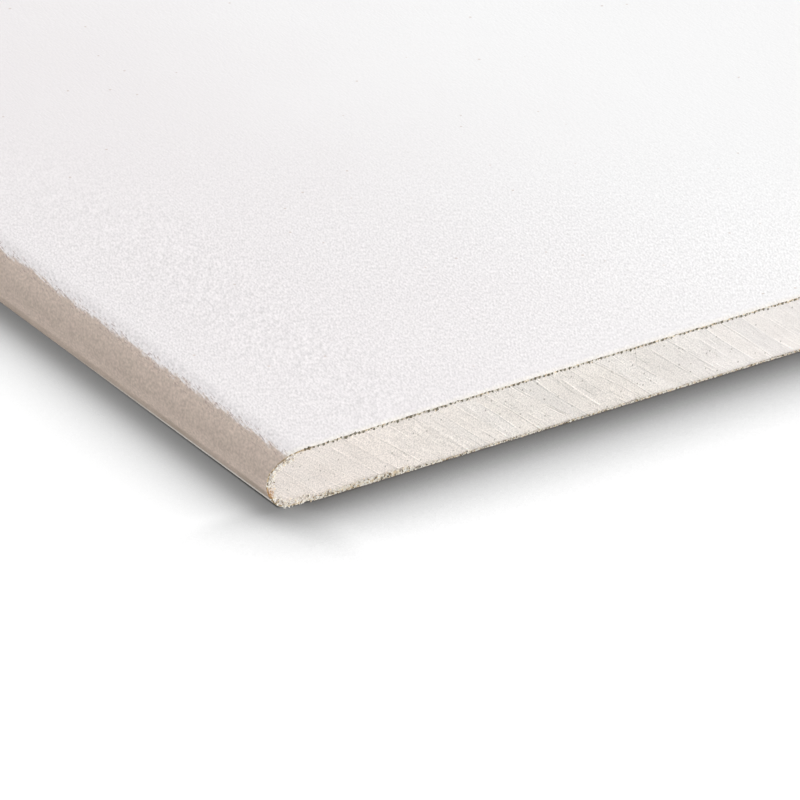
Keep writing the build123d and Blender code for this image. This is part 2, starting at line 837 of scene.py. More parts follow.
@dataclass(frozen=True)
class SawStrokes:
    """The fine slanted marks that the saw leaves in gypsum, with masks for their painted highlights and
    shade.
    """

    burr: BrokenLine = BrokenLine(WIDE_FACETS, 0.13 * MM, Patches(2.2 * MM, 9.0 * MM, Ramp(0.40, 0.54)))
    # painted shade: a dark line a little to the lee side of each ridge
    burr_lee_shade: BrokenLine = BrokenLine(
        WIDE_FACETS, 0.15 * MM, Patches(2.2 * MM, 9.0 * MM, Ramp(0.42, 0.56)), aside=0.25 * MM
    )
    small_burr: BrokenLine = BrokenLine(FINE_FACETS, 0.11 * MM, FINE_PATCHES)
    small_lee_shade: BrokenLine = BrokenLine(FINE_FACETS, 0.12 * MM, FINE_PATCHES, aside=0.2 * MM)
    scratch: BrokenLine = BrokenLine(ODD_FACETS, 0.12 * MM, Patches(1.7 * MM, 6.0 * MM, Ramp(0.51, 0.64)))
    steps: Patches = Patches(4.0 * MM, 12.0 * MM, Ramp(0.30, 0.50))
    small_steps: Patches = Patches(2.0 * MM, 7.0 * MM, Ramp(0.42, 0.56))
    crumbling: Patches = Patches(3.0 * MM, 7.0 * MM, Ramp(0.38, 0.58))
    drag_width: float = 0.30 * MM
    drag_length: float = 5.0 * MM
    drag_swing: Ramp = Ramp(0.30, 0.70, -0.5, 0.5)
    weak: Ramp = Ramp(0.50, 0.75)
    small_step_height: float = 0.45
    drag_height: float = 0.10
    ridge_height: float = 0.15
    scratch_depth: float = 0.15
    far_end_shift: float = 0.371

    def group(self) -> bpy.types.NodeTree:
        """Makes the node group.

        Returns:
            A group from Place and Lean to Ridge highlight, the mask of painted light on the ridges,
            Groove shade, the mask of painted shade beside them and in the scratches, and Crumbling, masks
            from 0 to 1, Drag, about -0.5 to 0.5, Facet, a random colour for each facet, and Height.
        """
        nodes, given = new_group(
            "saw_strokes",
            {"Place": VECTOR, "Lean": FLOAT},
            {
                "Ridge": FLOAT,
                "Groove": FLOAT,
                "Drag": FLOAT,
                "Crumbling": FLOAT,
                "Facet": COLOUR,
                "Height": FLOAT,
            },
        )
        turned = nodes.get(
            "ShaderNodeVectorRotate",
            {"Vector": given["Place"], "Rotation": nodes.joined(y=given["Lean"])},
            rotation_type="EULER_XYZ",
        )
        x, y, z = nodes.parts(turned)
        across = x + y.above(0.0) * self.far_end_shift
        saw = StrokeNodes(nodes, across, nodes.joined(across, z))
        facet, step = saw.terrace(WIDE_FACETS, 0.30)
        _, small_step = saw.terrace(FINE_FACETS, 0.55)
        _, _, weakness = nodes.channels(facet)
        crumbling = saw.patchy(nodes.ramp(weakness, self.weak), self.crumbling)
        ridge = saw.line(self.burr).at_least(saw.line(self.small_burr) * 0.8)
        scratch = saw.line(self.scratch)
        # painted shade beside the ridges, on the side away from the lamp
        lee_shade = saw.line(self.burr_lee_shade).at_least(saw.line(self.small_lee_shade) * 0.7)
        drag = nodes.ramp(saw.noise(self.drag_width, self.drag_length), self.drag_swing)
        drag = drag * (crumbling * 0.15 + 0.35)
        height = saw.patchy(step, self.steps)
        height = height + saw.patchy(small_step, self.small_steps) * self.small_step_height
        height = height + drag * self.drag_height + ridge * self.ridge_height
        height = height - scratch * self.scratch_depth
        outputs = {"Ridge": ridge, "Groove": scratch.at_least(lee_shade), "Drag": drag, "Crumbling": crumbling}
        nodes.add("NodeGroupOutput", {**outputs, "Facet": facet, "Height": height})
        return nodes.tree


@dataclass(frozen=True)
class Spot:
    """Where on the sheet a material is read."""

    place: Signal
    height: Signal
    from_edge: Signal
    from_end: Signal

    @classmethod
    def on(cls, sizes: SheetSizes, nodes: Nodes) -> "Spot":
        """Reads the place and its distances from the long edges and the ends.

        Args:
            sizes: the sheet's sizes.
            nodes: the material's nodes.

        Returns:
            The spot.
        """
        place = nodes.get("ShaderNodeTexCoord", output="Object")
        x, y, z = nodes.parts(place)
        return cls(place, z, sizes.half_width - abs(x), sizes.half_length - abs(y))


@dataclass
class Coat:
    """A material with one Principled shader."""

    name: str
    roughness: float
    specular: float = 0.25
    material: bpy.types.Material = field(init=False)
    nodes: Nodes = field(init=False)

    def __post_init__(self) -> None:
        """Starts the material."""
        self.material = bpy.data.materials.new(self.name)
        self.material.use_nodes = True
        self.nodes = Nodes(self.material.node_tree)

    def finish(self, colour: Signal, height: Signal, strength: Value, depth: float) -> bpy.types.Material:
        """Gives the shader its colour and its fine relief.

        Args:
            colour: the colour.
            height: the relief.
            strength: the relief's strength, from 0 to 1.
            depth: the relief's depth.

        Returns:
            The material.
        """
        shader = self.material.node_tree.nodes["Principled BSDF"]
        shader.inputs["Roughness"].default_value = self.roughness
        shader.inputs["Specular IOR Level"].default_value = self.specular
        relief = {"Height": height, "Strength": strength, "Distance": depth}
        bump = self.nodes.get("ShaderNodeBump", relief)
        self.nodes.tree.links.new(colour.socket, shader.inputs["Base Color"])
        self.nodes.tree.links.new(bump.socket, shader.inputs["Normal"])
        return self.material


@dataclass(frozen=True)
class FaceLinerFinish:
    """White liner paper that shows its beige stock where it wraps the long edges; the beige is partly the
    stock's own tan and partly painted shade of the rounding.
    """

    sizes: SheetSizes
    white: Colour = (0.926, 0.924, 0.926)
    edge_grey: Colour = (0.843, 0.812, 0.819)
    frayed: Colour = (0.93, 0.89, 0.835)
    # partly the stock's own tan, partly painted shade on the rounding that faces aside
    beige: Colour = (0.583, 0.475, 0.419)
    grey_beige: Colour = (0.554, 0.476, 0.400)
    scuff: Colour = (0.50, 0.39, 0.33)
    rub_mark: Colour = (0.37, 0.28, 0.26)
    # painted shade for the underside of the rounding
    painted_underside_shade: Colour = (0.30, 0.25, 0.20)
    pale_low_line: Colour = (0.72, 0.68, 0.64)
    white_ends: float = 4.7 * MM
    coated: Ramp = Ramp(4.3 * MM, 5.5 * MM)
    nose_coat: float = 1.0 * MM
    coat_streaks: Grain = Grain(0.45 * MM, 4.0 * MM, detail=3.0, turn=math.radians(-8.0))
    coat_rags: Grain = Grain(0.4 * MM, 0.9 * MM, turn=math.radians(-30.0))
    coat_wander: Grain = Grain(3.0 * MM, 9.0 * MM)
    streak_reach: float = 3.0 * MM
    rag_reach: float = 1.2 * MM
    rubs: Grain = Grain(0.26 * MM, 1.7 * MM, turn=math.radians(-12.0))
    rubbed: Ramp = Ramp(0.57, 0.65)
    rub_reach: Ramp = Ramp(2.8 * MM, 0.3 * MM, last=0.8)
    edge_grey_wander: Grain = Grain(30.0 * MM, 45.0 * MM, detail=3.0)
    edge_grey_fade: Ramp = Ramp(30.0 * MM, 170.0 * MM)
    edge_grey_drift: float = 40.0 * MM
    flecked: Ramp = Ramp(95.0 * MM, 205.0 * MM, 1.0, 0.1)
    edge_weight: float = 0.66
    fleck_contrast: float = 0.18
    mean_fleck: float = 0.965
    bright_end: Ramp = Ramp(70.0 * MM, 15.0 * MM, last=0.02)
    frayed_end: Ramp = Ramp(2.4 * MM, 0.0, last=0.9)
    speck_apart: float = 7.0 * MM
    speck: Ramp = Ramp(0.055, 0.03)
    pale_low_band: Ramp = Ramp(3.55 * MM, 3.1 * MM)
    underside_shade_band: Ramp = Ramp(5.5 * MM, 4.6 * MM)
    underside_shade_strength: Ramp = Ramp(0.3, 0.7, 0.32, 0.60)
    by_corner: Ramp = Ramp(92.0 * MM, 25.0 * MM)
    tints: Grain = Grain(3.0 * MM, 6.0 * MM, detail=3.0)
    tinted: Ramp = Ramp(0.25, 0.75, 0.3, 0.5)
    mottles: Grain = Grain(1.4 * MM, 3.0 * MM, detail=4.0)
    mottled: Ramp = Ramp(0.3, 0.7, 0.965, 1.035)
    scuffs: Grain = Grain(0.35 * MM, 2.6 * MM, detail=3.0, turn=math.radians(12.0))
    scuffed: Ramp = Ramp(0.62, 0.72, last=0.3)
    underside_shade_wander: Grain = Grain(6.0 * MM, 14.0 * MM)

    def material(self, fibres: bpy.types.NodeTree) -> bpy.types.Material:
        """Makes the material.

        Args:
            fibres: the paper fibre group.

        Returns:
            The face paper's material.
        """
        coat = Coat("face_liner_paper", roughness=0.85)
        nodes = coat.nodes
        spot = Spot.on(self.sizes, nodes)
        grain = nodes.group(fibres, {"Place": spot.place})
        beige = self._paint_underside_shade_and_low_line(nodes, spot, self._beige(nodes, spot, grain["Tone"]))
        colour = nodes.blend(self._covered(nodes, spot), beige, self._white(nodes, spot, grain["Tone"]))
        colour = nodes.blend(self._rubbed(nodes, spot), colour, self.rub_mark)
        return coat.finish(colour, grain["Height"], strength=0.7, depth=0.07 * MM)

    def _white(self, nodes: Nodes, spot: Spot, tone: Signal) -> Signal:
        """Colours the white side: greyer near the long edges, flecked most at the corners.

        Args:
            nodes: the material's nodes.
            spot: where on the sheet it is read.
            tone: the tone of the paper's fibres.

        Returns:
            The colour.
        """
        # greyer towards the long edges, along a wandering line
        drift = (nodes.noise(spot.place, self.edge_grey_wander) - 0.5) * self.edge_grey_drift
        untinted = nodes.ramp(spot.from_edge + drift, self.edge_grey_fade)
        white = nodes.blend(untinted, self.edge_grey, self.white)
        from_corner = spot.from_edge * self.edge_weight + spot.from_end
        strength = nodes.ramp(from_corner, self.flecked)
        fleck = (tone * self.fleck_contrast - 0.094) * strength + self.mean_fleck
        fleck = fleck + nodes.ramp(spot.from_end, self.bright_end)
        white = nodes.blend(nodes.ramp(spot.from_end, self.frayed_end), white, self.frayed)
        white = nodes.toned(white, fleck)
        dark = nodes.ramp(nodes.cells(spot.place, self.speck_apart), self.speck)
        return nodes.blend(dark * 0.5, white, self.scuff)

    def _covered(self, nodes: Nodes, spot: Spot) -> Signal:
        """Ends the white coat in a ragged line on the rounding.

        Args:
            nodes: the material's nodes.
            spot: where on the sheet it is read.

        Returns:
            The coat's mask.
        """
        streaks = nodes.noise(spot.place, self.coat_streaks) - 0.5
        ragged = nodes.noise(spot.place, self.coat_rags) - 0.5
        wander = nodes.noise(spot.place, self.coat_wander) - 0.5
        shift = streaks * self.streak_reach + ragged * self.rag_reach + wander * self.rag_reach
        on_face = nodes.ramp(spot.from_edge + shift, self.coated)
        nose_height = self.sizes.nose_height
        return on_face * nodes.ramp(spot.height, Ramp(nose_height, nose_height + self.nose_coat))

    def _rubbed(self, nodes: Nodes, spot: Spot) -> Signal:
        """Rubs marks into the line where the white ends.

        Args:
            nodes: the material's nodes.
            spot: where on the sheet it is read.

        Returns:
            Their mask.
        """
        marks = nodes.ramp(nodes.noise(spot.place, self.rubs), self.rubbed)
        off_line = abs(spot.from_edge - self.white_ends)
        return marks * nodes.ramp(off_line, self.rub_reach)

    def _beige(self, nodes: Nodes, spot: Spot, tone: Signal) -> Signal:
        """Colours the bare stock, mottled and streaked; its beige is darkened partly as painted shade of
        the rounding.

        Args:
            nodes: the material's nodes.
            spot: where on the sheet it is read.
            tone: the tone of the paper's fibres.

        Returns:
            The colour.
        """
        tint = nodes.noise(spot.place, self.tints)
        beige = nodes.blend(nodes.ramp(tint, self.tinted), self.beige, self.grey_beige)
        mottle = nodes.noise(spot.place, self.mottles)
        beige = nodes.toned(beige, nodes.ramp(mottle, self.mottled))
        beige = nodes.toned(beige, tone * 0.2 + 0.9)
        streaks = nodes.noise(spot.place, self.scuffs)
        return nodes.blend(nodes.ramp(streaks, self.scuffed), beige, self.scuff)

    def _paint_underside_shade_and_low_line(self, nodes: Nodes, spot: Spot, colour: Signal) -> Signal:
        """Paints shade low on the rounding, where it turns under, and paints its lowest line pale.

        Args:
            nodes: the material's nodes.
            spot: where on the sheet it is read.
            colour: the stock's colour.

        Returns:
            The changed colour.
        """
        uneven = nodes.noise(spot.place, self.underside_shade_wander)
        near = nodes.ramp(spot.from_end, self.by_corner)
        # painted shade: darker below 4.6 to 5.5 mm, where the rounding turns under and faces down
        painted_underside_shade = nodes.ramp(spot.height, self.underside_shade_band)
        painted_underside_shade = painted_underside_shade * nodes.ramp(uneven, self.underside_shade_strength) * (near * 0.3 + 0.9)
        colour = nodes.blend(painted_underside_shade, colour, self.painted_underside_shade)
        # a pale line painted along the lowest part of the rounding, strongest near the corners
        pale_low_band = nodes.ramp(spot.height, self.pale_low_band)
        return nodes.blend(pale_low_band * near, colour, self.pale_low_line)


@dataclass(frozen=True)
class GypsumFinish:
    """Cream foamed gypsum, as the saw leaves it.

    From the long edges inwards its tint turns a little cooler and its relief stronger, then lighter and
    bluer with fainter grain.
    """

    sizes: SheetSizes
    warm: Colour = (0.842, 0.770, 0.712)
    pale: Colour = (0.83, 0.768, 0.72)
    untinted: Colour = (1.0, 1.0, 1.0)
    cool_mid_tint: Colour = (0.965, 0.996, 1.01)
    blue_far_tint: Colour = (1.0, 1.04, 1.082)
    # painted shade in the bubble holes
    pore_shade: Colour = (0.36, 0.32, 0.29)
    ridge_gain: float = 0.23
    groove_loss: float = 0.18
    cool_mid_tinted: Ramp = Ramp(15.0 * MM, 60.0 * MM)
    blue_far_tinted: Ramp = Ramp(85.0 * MM, 125.0 * MM)
    far_grain_fade: Ramp = Ramp(85.0 * MM, 125.0 * MM, 1.0, 0.5)
    contrast: Ramp = Ramp(38.0 * MM, 70.0 * MM, 0.62, 1.12)
    level: Ramp = Ramp(38.0 * MM, 70.0 * MM, 0.977, 1.007)
    facet_tone: Ramp = Ramp(0.0, 1.0, 0.96, 1.035)
    grain_tone: Ramp = Ramp(0.30, 0.70, -0.16, 0.14)
    # painted light: the cut is up to 12 percent brighter in its lowest millimetres, standing in for light
    # bounced from the floor
    painted_light_low: Ramp = Ramp(0.5 * MM, 6.5 * MM, 1.12, 1.0)
    grain: Grain = Grain(0.34 * MM, 0.34 * MM)
    bubbles_apart: float = 1.7 * MM
    bubble: Ramp = Ramp(0.15, 0.07)
    lean: float = math.radians(50.0)

    def material(self, strokes: bpy.types.NodeTree) -> bpy.types.Material:
        """Makes the material.

        Args:
            strokes: the saw stroke group.

        Returns:
            The core's material.
        """
        coat = Coat("sawn_gypsum", roughness=0.92)
        nodes = coat.nodes
        spot = Spot.on(self.sizes, nodes)
        marks = nodes.group(strokes, {"Place": spot.place, "Lean": self.lean})
        grains = nodes.noise(spot.place, self.grain)
        far_grain_fade = nodes.ramp(spot.from_edge, self.far_grain_fade)
        contrast = far_grain_fade * nodes.ramp(spot.from_edge, self.contrast)
        warmth, lightness, _ = nodes.channels(marks["Facet"])
        # painted highlight along the ridges, painted shade beside them and in the scratches
        tone = marks["Ridge"] * self.ridge_gain + 1.0 - marks["Groove"] * self.groove_loss
        tone = tone * nodes.ramp(lightness, self.facet_tone)
        tone = (tone - 1.0) * contrast + nodes.ramp(spot.from_edge, self.level)
        roughened = nodes.ramp(grains, self.grain_tone) * (marks["Crumbling"] * 0.15 + 0.95)
        tone = tone * (roughened * far_grain_fade + 1.0 + marks["Drag"] * 0.15)
        # painted light: brightens the cut towards the floor
        tone = tone * nodes.ramp(spot.height, self.painted_light_low)
        colour = nodes.toned(nodes.blend(warmth, self.warm, self.pale), self._shade(nodes, spot))
        colour = nodes.toned(colour, tone)
        # painted shade: the small bubble holes are painted dark
        pores = nodes.ramp(nodes.cells(spot.place, self.bubbles_apart), self.bubble)
        colour = nodes.blend(pores * 0.7, colour, self.pore_shade)
        height = marks["Height"] + grains * (marks["Crumbling"] * 0.22 + 0.12) - pores * 0.3
        return coat.finish(colour, height, strength=contrast, depth=0.22 * MM)

    def _shade(self, nodes: Nodes, spot: Spot) -> Signal:
        """Returns the tint that the gypsum takes by its distance from the long edges."""
        # a tint by distance from the long edges: cooler 15 to 60 mm in, lighter and bluer past 85 to 125
        # mm
        shade = nodes.blend(nodes.ramp(spot.from_edge, self.cool_mid_tinted), self.untinted, self.cool_mid_tint)
        return nodes.blend(nodes.ramp(spot.from_edge, self.blue_far_tinted), shade, self.blue_far_tint)


@dataclass(frozen=True)
class TornLinerFinish:
    """Torn liner paper at a cut: brown at the rounded edge, straw elsewhere, with a glue stain."""

    name: str
    sizes: SheetSizes
    stock: Colour
    nose_stock: Colour
    fibre: Colour = (1.0, 0.975, 0.90)
    straw: Colour = (0.80, 0.62, 0.38)
    grit: Colour = (0.24, 0.185, 0.115)
    glue: Colour = (0.58, 0.31, 0.12)
    pale_share: float = 0.65
    straw_share: float = 0.24
    grit_share: float = 0.14
    shred: float = 0.36 * MM
    fluff: Grain = Grain(0.2 * MM, 0.2 * MM, detail=3.0)
    off_nose: Ramp = Ramp(9.6 * MM, 12.0 * MM)
    lowest: Ramp = Ramp(1.2 * MM, 0.6 * MM)
    stained: Ramp = Ramp(1.6 * MM, 0.64 * MM, last=0.72)
    stain_in: float = 0.6 * MM
    stain_back: float = 0.2 * MM
    stain_height: float = 4.6 * MM

    def material(self) -> bpy.types.Material:
        """Makes the material.

        Returns:
            The material of torn paper.
        """
        coat = Coat(self.name, roughness=0.95)
        nodes = coat.nodes
        spot = Spot.on(self.sizes, nodes)
        inland = nodes.ramp(spot.from_edge, self.off_nose)
        lowest = nodes.ramp(spot.height, self.lowest)
        colour = nodes.blend(inland.at_least(lowest), self.nose_stock, self.stock)
        pale, yellow, dark = nodes.channels(nodes.cells(spot.place, self.shred, output="Color"))
        colour = nodes.blend(pale.below(self.pale_share), colour, self.fibre)
        colour = nodes.blend(yellow.below(self.straw_share) * 0.7, colour, self.straw)
        colour = nodes.blend(dark.below(self.grit_share), colour, self.grit)
        stain_at = (
            self.stain_in - self.sizes.half_width,
            self.stain_back - self.sizes.half_length,
            self.stain_height,
        )
        away = nodes.get(
            "ShaderNodeVectorMath", {0: spot.place, 1: stain_at}, output="Value", operation="DISTANCE"
        )
        stain = nodes.ramp(away, self.stained)
        colour = nodes.blend(stain, colour, self.glue)
        return coat.finish(colour, nodes.noise(spot.place, self.fluff), strength=0.5, depth=0.03 * MM)


@dataclass(frozen=True)
class BackLinerFinish:
    """Grey-brown liner paper of the back, felted from mixed fibres."""

    sizes: SheetSizes
    brown: Colour = (0.42, 0.365, 0.295)
    pale: Colour = (0.58, 0.52, 0.44)
    clouds: Grain = Grain(25.0 * MM, 60.0 * MM, detail=4.0)
    clouded: Ramp = Ramp(0.3, 0.7, last=0.4)

    def material(self, fibres: bpy.types.NodeTree) -> bpy.types.Material:
        """Makes the material.

        Args:
            fibres: the paper fibre group.

        Returns:
            The back paper's material.
        """
        coat = Coat("back_liner_paper", roughness=0.9)
        nodes = coat.nodes
        spot = Spot.on(self.sizes, nodes)
        grain = nodes.group(fibres, {"Place": spot.place})
        clouds = nodes.noise(spot.place, self.clouds)
        share = grain["Tone"] * 0.6 + nodes.ramp(clouds, self.clouded)
        colour = nodes.blend(share, self.brown, self.pale)
        return coat.finish(colour, grain["Height"], strength=0.6, depth=0.06 * MM)


@dataclass
class Finishes:
    """Every material of the sheet."""

    sizes: SheetSizes
    gypsum: bpy.types.Material = field(init=False)
    face: bpy.types.Material = field(init=False)
    back: bpy.types.Material = field(init=False)
    face_cut: bpy.types.Material = field(init=False)
    back_cut: bpy.types.Material = field(init=False)
    crumbs: bpy.types.Material = field(init=False)
    notch_shade: bpy.types.Material = field(init=False)

    def __post_init__(self) -> None:
        """Builds the shared node groups and the materials."""
        fibres = PaperFibres().group()
        self.gypsum = GypsumFinish(self.sizes).material(SawStrokes().group())
        self.face = FaceLinerFinish(self.sizes).material(fibres)
        self.back = BackLinerFinish(self.sizes).material(fibres)
        straw, brown = (0.88, 0.83, 0.72), (0.34, 0.27, 0.18)
        self.face_cut = self._torn("cut_liner_edge", straw, brown, pale_share=0.25, grit_share=0.05)
        pale = (0.96, 0.91, 0.82)
        self.back_cut = self._torn("cut_back_liner_edge", pale, pale, pale_share=0.4, grit_share=0.06)
        fluff = (0.97, 0.90, 0.78)
        self.crumbs = self._torn("torn_liner_crumbs", fluff, fluff)
        # painted shade: dark flakes stand in for the shade in notches torn into the papers' cut edges
        self.notch_shade = self._torn(
            "torn_liner_notch_shade",
            (0.20, 0.18, 0.135),
            (0.28, 0.21, 0.13),
            grit=(0.13, 0.12, 0.085),
            pale_share=0.0,
            straw_share=0.0,
            grit_share=0.4,
        )

    def _torn(
        self, name: str, stock: Colour, nose_stock: Colour, **looks: float | Colour
    ) -> bpy.types.Material:
        """Makes one finish of torn paper."""
        return TornLinerFinish(name, self.sizes, stock, nose_stock, **looks).material()


END_BAND = 4.0 * MM  # the loop near each end, past which the cut's fine edges don't reach
CUT_FACING = 0.35  # a face whose normal's Y is larger than this belongs to a cut


@dataclass
class SawnPiece:
    """A piece of the sheet that is shaped whole, sawn at both ends and dressed.

    The skin covers its own surface, and the cut its two sawn faces.
    """

    sizes: SheetSizes
    skin: bpy.types.Material
    cut: bpy.types.Material
    node: str
    saw: SawCut

    def shape(self) -> bpy.types.Object:
        """Makes the closed mesh that is then sawn. Each piece has its own."""
        raise NotImplementedError

    def build(self) -> bpy.types.Object:
        """Makes the piece, which stands for its node and rides on the sheet's only body.

        Returns:
            The finished piece.
        """
        piece = self.shape()
        self._add_end_loops(piece)
        self.saw.trim(piece, self.sizes)
        self._dress(piece)
        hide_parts(self.node)
        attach(piece, "root")
        log.info("%s: %d faces", piece.name, len(piece.data.polygons))
        return piece

    def _add_end_loops(self, piece: bpy.types.Object) -> None:
        """Adds an edge loop a short way in from each end.

        Args:
            piece: the piece, not yet sawn.
        """
        with Bench(piece) as bench:
            for end in End:
                bench.pick_all()
                bpy.ops.mesh.bisect(
                    plane_co=(0.0, end.value * (self.sizes.half_length - END_BAND), 0.0),
                    plane_no=(0.0, 1.0, 0.0),
                    threshold=TOUCH,
                )

    def _dress(self, piece: bpy.types.Object) -> None:
        """Gives the skin and the cut their materials.

        Args:
            piece: the piece, already sawn.
        """
        mesh = piece.data
        mesh.materials.clear()
        mesh.materials.append(self.skin)
        mesh.materials.append(self.cut)
        normals, centres = (np.empty(len(mesh.polygons) * 3, np.float32) for _ in range(2))
        mesh.polygons.foreach_get("normal", normals)
        mesh.polygons.foreach_get("center", centres)
        faces_end = np.abs(normals[1::3]) > CUT_FACING
        at_end = np.abs(centres[1::3]) > self.sizes.half_length - END_BAND / 2
        mesh.polygons.foreach_set("material_index", (faces_end & at_end).astype(np.int32))
        mesh.update()


@dataclass
class GypsumCore(SawnPiece):
    """The gypsum slab, filled up to the papers."""

    node: str = "gypsum_core"
    saw: SawCut = SawCut(
        "core_saw",
        column=0.34 * MM,
        rows=10,
        depth=0.20 * MM,
        layers=(
            Relief("stroke_facets", "CELL_NOISE", 3.1 * MM, 60.0 * MM, 0.10 * MM),
            Relief("stroke_hollows", "VORONOI_F1", 5.0 * MM, 60.0 * MM, 0.12 * MM),
            Relief("drag_lines", "IMPROVED_PERLIN", 0.9 * MM, 14.0 * MM, 0.03 * MM),
            Relief("crumbling", "IMPROVED_PERLIN", 0.9 * MM, 1.2 * MM, 0.04 * MM),
        ),
    )

    def shape(self) -> bpy.types.Object:
        """Closes the wrapped surface under the core and over its ends.

        Returns:
            The core as a closed slab.
        """
        sizes = self.sizes
        core = WrappedSurface(sizes, sizes.liner, "gypsum_slab").build()
        with Bench(core) as bench:
            for side in Side:
                bench.pick_edges_at(side.value * sizes.margin_end_x, 2 * sizes.liner)
                bench.push_out(z=-sizes.liner)
            bench.pick_edges(
                lambda a, b: all(
                    abs(abs(end.x) - sizes.margin_end_x) < TOUCH and abs(end.z - sizes.liner) < TOUCH
                    for end in (a, b)
                )
            )
            bpy.ops.mesh.bridge_edge_loops()
            bench.pick_rims()
            bpy.ops.mesh.edge_face_add()
            bench.face_outwards()
        return core


@dataclass
class FacePaper(SawnPiece):
    """The liner paper over the face, round the long edges and under them."""

    node: str = "face_paper"
    saw: SawCut = SawCut(
        "face_paper_saw",
        column=0.25 * MM,
        rows=6,
        depth=0.15 * MM,
        layers=(
            Relief("torn_notches", "CELL_NOISE", 0.9 * MM, 5.0 * MM, 0.16 * MM),
            Relief("torn_fibres", "IMPROVED_PERLIN", 0.4 * MM, 2.0 * MM, 0.13 * MM),
        ),
    )
    crease: float = math.radians(20.0)

    def shape(self) -> bpy.types.Object:
        """Joins the paper's outer and inner surface into a closed fold.

        Returns:
            The paper as a closed mesh.
        """
        sizes = self.sizes
        paper = WrappedSurface(sizes, 0.0, "face_liner").build()
        inner = WrappedSurface(sizes, sizes.liner, "face_liner_inside").build()
        make_active(paper)
        inner.select_set(True)
        bpy.ops.object.join()
        with Bench(paper) as bench:
            bench.pick_rims()
            bpy.ops.mesh.bridge_edge_loops()
            bench.face_outwards()
        return paper

    def build(self) -> bpy.types.Object:
        """Makes the paper and smooths its roundings.

        Returns:
            The finished face paper.
        """
        paper = super().build()
        make_active(paper)
        bpy.ops.object.shade_smooth_by_angle(angle=self.crease)
        return paper


@dataclass
class BackPaper(SawnPiece):
    """The liner paper of the back, with thinned long edges where it laps over the margins."""

    node: str = "back_paper"
    saw: SawCut = SawCut(
        "back_paper_saw",
        column=0.25 * MM,
        rows=2,
        depth=0.07 * MM,
        layers=(
            Relief("torn_notches", "CELL_NOISE", 1.3 * MM, 5.0 * MM, 0.06 * MM),
            Relief("torn_fibres", "IMPROVED_PERLIN", 0.45 * MM, 2.0 * MM, 0.07 * MM),
        ),
    )
    feather: float = 0.18 * MM

    def shape(self) -> bpy.types.Object:
        """Thickens a flat sheet and thins its long edges.

        Returns:
            The paper as a closed mesh.
        """
        sizes = self.sizes
        paper = add_plane("back_liner", 2 * sizes.back_half_width, 2 * sizes.half_length, 0.0)
        with Bench(paper) as bench:
            bench.pick_all()
            bench.push_out(z=sizes.liner)
            bench.pick_edges(lambda a, b: abs(a.x - b.x) < TOUCH and a.z < TOUCH and b.z < TOUCH)
            bpy.ops.mesh.bevel(offset=self.feather, segments=2, affect="EDGES")
            bench.face_outwards()
        return paper


@dataclass(frozen=True)
class TornEdge:
    """Shreds of torn paper along one cut edge of a liner.

    Densities are shreds for each square millimetre of the cut. Reaches are how far the shreds are
    smeared from the cut over the gypsum.
    """

    name: str
    slot: Slot
    density: float
    edge_extra: float = 0.0
    apart: float = 0.0
    nose_share: float = 1.0
    size: float = 0.25 * MM
    smallest: float = 0.45
    largest: float = 1.3
    least: float = 0.0
    droop: float = 0.0
    scatter: float = 0.12 * MM
    proud: float = 0.1 * MM
    deepest: float = 0.02 * MM
    corner_growth: float = 0.0
    above: float = 0.0
    flatness: float = 0.2
    tilt: float = 0.28
    reach: float = 0.25 * MM
    edge_reach: float = 0.65 * MM
    nose_extra: float = 0.0
    seed: int = 7

    def grow(
        self, sizes: SheetSizes, paper: bpy.types.Object, end: End, finish: bpy.types.Material
    ) -> bpy.types.Object:
        """Scatters the shreds over the cut face of a paper.

        Args:
            sizes: the sheet's sizes.
            paper: the paper, already cut and dressed.
            end: the end whose edge is covered.
            finish: the shreds' material.

        Returns:
            The shreds as one mesh.
        """
        shreds = self._cut_faces(paper, end)
        shreds.name = shreds.data.name = f"{self.name}_{end.name.lower()}"
        modifier = shreds.modifiers.new(self.name, "NODES")
        modifier.node_group = Scattering(self, sizes, end).group()
        make_active(shreds)
        bpy.ops.object.modifier_apply(modifier=modifier.name)
        shreds.data.materials.clear()
        shreds.data.materials.append(finish)
        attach(shreds, "root")
        log.info("%s: %d faces", shreds.name, len(shreds.data.polygons))
        return shreds

    @staticmethod
    def _cut_faces(paper: bpy.types.Object, end: End) -> bpy.types.Object:
        """Copies the faces of a paper's cut at one end.

        Args:
            paper: the paper.
            end: the end.

        Returns:
            A new object with only those faces.
        """
        make_active(paper)
        bpy.ops.object.duplicate()
        copy = bpy.context.object
        mesh = bmesh.new()
        mesh.from_mesh(copy.data)
        unwanted = [
            face
            for face in mesh.faces
            if face.material_index != 1 or face.calc_center_median().y * end.value < 0
        ]
        bmesh.ops.delete(mesh, geom=unwanted, context="FACES")
        mesh.to_mesh(copy.data)
        mesh.free()
        return copy


class Draw(Enum):
    """What random numbers are drawn for, by what each draw adds to the seed."""

    POINTS = 0
    REACH = 10
    STIR = 20
    TURN = 40
    SIZE = 60
    SINK = 80


